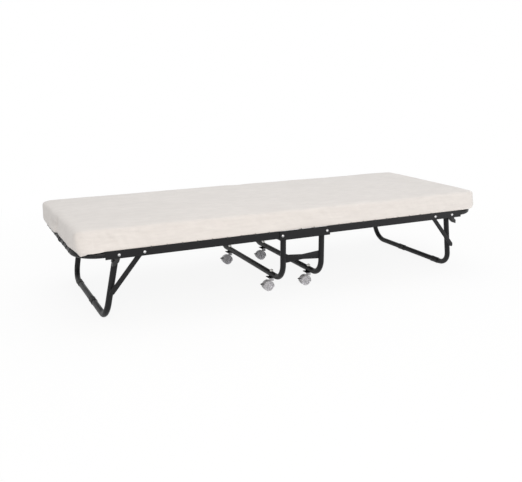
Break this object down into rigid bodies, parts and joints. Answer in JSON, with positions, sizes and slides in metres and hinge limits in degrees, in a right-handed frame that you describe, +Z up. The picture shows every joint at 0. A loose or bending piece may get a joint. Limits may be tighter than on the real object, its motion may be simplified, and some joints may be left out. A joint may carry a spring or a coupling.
{
  "type": "folding cot",
  "caption": "Folding guest bed with a foam mattress on a sprung steel deck that folds upright on a rolling centre stand, with folding end legs.",
  "frame": {"origin": "on the floor, under the middle of the cot", "axes": "+X along the length towards the right end, +Y across towards the rear side, +Z up"},
  "size_m": [1.933, 0.7488, 0.3845],
  "materials": {
    "black_frame": "satin black powder coat",
    "black_steel": "satin black",
    "zinc_steel": "zinc plated",
    "rivet_steel": "bright zinc",
    "spring_wire": "dark wire",
    "deck_fabric": "black woven polypropylene",
    "mattress_cover": "cream knitted cover",
    "caster_clear": "pale grey translucent plastic",
    "caster_hood": "pale grey translucent plastic",
    "brake_plastic": "grey plastic",
    "black_plastic": "moulded black",
    "black_rubber": "smooth black rubber"
  },
  "bodies": {
    "stand": {"caster_plate_front_left": "black_steel", "caster_plate_front_right": "black_steel", "caster_plate_rear_left": "black_steel", "caster_plate_rear_right": "black_steel", "caster_stem_front_left": "zinc_steel", "caster_stem_front_right": "zinc_steel", "caster_stem_rear_left": "zinc_steel", "caster_stem_rear_right": "zinc_steel", "centre_rail_front": "black_frame", "centre_rail_rear": "black_frame", "deck_fabric_centre": "deck_fabric", "deck_springs_centre": "spring_wire", "hinge_rivets": "rivet_steel", "link_plate_front": "black_frame", "link_plate_rear": "black_frame", "mattress_centre": "mattress_cover", "stand_tube_left": "black_frame", "stand_tube_right": "black_frame"},
    "deck_left": {"cross_tube_left": "black_frame", "deck_fabric_left": "deck_fabric", "deck_rail_front_left": "black_frame", "deck_rail_rear_left": "black_frame", "deck_springs_left": "spring_wire", "end_tube_left": "black_frame", "leg_stops_left": "black_plastic", "mattress_left": "mattress_cover", "pivot_rivets_left": "rivet_steel", "strap_clip": "black_plastic"},
    "deck_right": {"cross_tube_right": "black_frame", "deck_fabric_right": "deck_fabric", "deck_rail_front_right": "black_frame", "deck_rail_rear_right": "black_frame", "deck_springs_right": "spring_wire", "end_tube_right": "black_frame", "leg_stops_right": "black_plastic", "mattress_right": "mattress_cover", "pivot_rivets_right": "rivet_steel"},
    "leg_left": {"foot_sleeves_left": "black_rubber", "leg_tube_left": "black_frame"},
    "leg_right": {"foot_sleeves_right": "black_rubber", "leg_tube_right": "black_frame"},
    "caster_front_left": {"caster_hood_front_left": "caster_hood"},
    "wheels_front_left": {"caster_wheels_front_left": "caster_clear"},
    "lever_front_left": {"brake_lever_front_left": "brake_plastic"},
    "brace_front_left": {"brace_front_left": "black_frame"},
    "caster_front_right": {"caster_hood_front_right": "caster_hood"},
    "wheels_front_right": {"caster_wheels_front_right": "caster_clear"},
    "lever_front_right": {"brake_lever_front_right": "brake_plastic"},
    "brace_front_right": {"brace_front_right": "black_frame"},
    "caster_rear_left": {"caster_hood_rear_left": "caster_hood"},
    "wheels_rear_left": {"caster_wheels_rear_left": "caster_clear"},
    "lever_rear_left": {"brake_lever_rear_left": "brake_plastic"},
    "brace_rear_left": {"brace_rear_left": "black_frame"},
    "caster_rear_right": {"caster_hood_rear_right": "caster_hood"},
    "wheels_rear_right": {"caster_wheels_rear_right": "caster_clear"},
    "lever_rear_right": {"brake_lever_rear_right": "brake_plastic"},
    "brace_rear_right": {"brace_rear_right": "black_frame"}
  },
  "joints": [
    {"name": "fold_left", "type": "hinge", "parent": "stand", "child": "deck_left", "pos_m": [-0.108, 0, 0.28], "axis": [0, 1, 0], "range_deg": [0, 90], "deforming": ["mattress_centre", "deck_fabric_centre", "deck_springs_centre"]},
    {"name": "fold_right", "type": "hinge", "parent": "stand", "child": "deck_right", "pos_m": [0.108, 0, 0.28], "axis": [0, -1, 0], "range_deg": [0, 90], "deforming": ["mattress_centre", "deck_fabric_centre", "deck_springs_centre"]},
    {"name": "leg_fold_left", "type": "hinge", "parent": "deck_left", "child": "leg_left", "pos_m": [-0.8, 0, 0.2825], "axis": [0, -1, 0], "range_deg": [0, 98]},
    {"name": "brace_turn_front_left", "type": "hinge", "parent": "deck_left", "child": "brace_front_left", "pos_m": [-0.701, 0, 0.2825], "axis": [0, -1, 0], "range_deg": [0, 123]},
    {"name": "brace_turn_rear_left", "type": "hinge", "parent": "deck_left", "child": "brace_rear_left", "pos_m": [-0.701, 0, 0.2825], "axis": [0, -1, 0], "range_deg": [0, 123]},
    {"name": "leg_fold_right", "type": "hinge", "parent": "deck_right", "child": "leg_right", "pos_m": [0.8, 0, 0.2825], "axis": [0, 1, 0], "range_deg": [0, 98]},
    {"name": "brace_turn_front_right", "type": "hinge", "parent": "deck_right", "child": "brace_front_right", "pos_m": [0.701, 0, 0.2825], "axis": [0, 1, 0], "range_deg": [0, 123]},
    {"name": "brace_turn_rear_right", "type": "hinge", "parent": "deck_right", "child": "brace_rear_right", "pos_m": [0.701, 0, 0.2825], "axis": [0, 1, 0], "range_deg": [0, 123]},
    {"name": "swivel_front_left", "type": "hinge", "parent": "stand", "child": "caster_front_left", "pos_m": [-0.094, -0.235, 0.047], "axis": [0, 0, 1], "continuous": true},
    {"name": "roll_front_left", "type": "hinge", "parent": "caster_front_left", "child": "wheels_front_left", "pos_m": [-0.112, -0.235, 0.022], "axis": [0, 1, 0], "continuous": true},
    {"name": "brake_front_left", "type": "hinge", "parent": "caster_front_left", "child": "lever_front_left", "pos_m": [-0.127, -0.235, 0.0335], "axis": [0, 1, 0], "range_deg": [0, 14]},
    {"name": "swivel_front_right", "type": "hinge", "parent": "stand", "child": "caster_front_right", "pos_m": [0.094, -0.235, 0.047], "axis": [0, 0, 1], "continuous": true},
    {"name": "roll_front_right", "type": "hinge", "parent": "caster_front_right", "child": "wheels_front_right", "pos_m": [0.076, -0.235, 0.022], "axis": [0, 1, 0], "continuous": true},
    {"name": "brake_front_right", "type": "hinge", "parent": "caster_front_right", "child": "lever_front_right", "pos_m": [0.061, -0.235, 0.0335], "axis": [0, 1, 0], "range_deg": [0, 14]},
    {"name": "swivel_rear_left", "type": "hinge", "parent": "stand", "child": "caster_rear_left", "pos_m": [-0.094, 0.235, 0.047], "axis": [0, 0, 1], "continuous": true},
    {"name": "roll_rear_left", "type": "hinge", "parent": "caster_rear_left", "child": "wheels_rear_left", "pos_m": [-0.112, 0.235, 0.022], "axis": [0, 1, 0], "continuous": true},
    {"name": "brake_rear_left", "type": "hinge", "parent": "caster_rear_left", "child": "lever_rear_left", "pos_m": [-0.127, 0.235, 0.0335], "axis": [0, 1, 0], "range_deg": [0, 14]},
    {"name": "swivel_rear_right", "type": "hinge", "parent": "stand", "child": "caster_rear_right", "pos_m": [0.094, 0.235, 0.047], "axis": [0, 0, 1], "continuous": true},
    {"name": "roll_rear_right", "type": "hinge", "parent": "caster_rear_right", "child": "wheels_rear_right", "pos_m": [0.076, 0.235, 0.022], "axis": [0, 1, 0], "continuous": true},
    {"name": "brake_rear_right", "type": "hinge", "parent": "caster_rear_right", "child": "lever_rear_right", "pos_m": [0.061, 0.235, 0.0335], "axis": [0, 1, 0], "range_deg": [0, 14]}
  ],
  "couplings": [
    {"joint": "brace_turn_front_left", "follows": "leg_fold_left", "ratio": 1.2527},
    {"joint": "brace_turn_rear_left", "follows": "leg_fold_left", "ratio": 1.2527},
    {"joint": "brace_turn_front_right", "follows": "leg_fold_right", "ratio": 1.2527},
    {"joint": "brace_turn_rear_right", "follows": "leg_fold_right", "ratio": 1.2527}
  ]
}
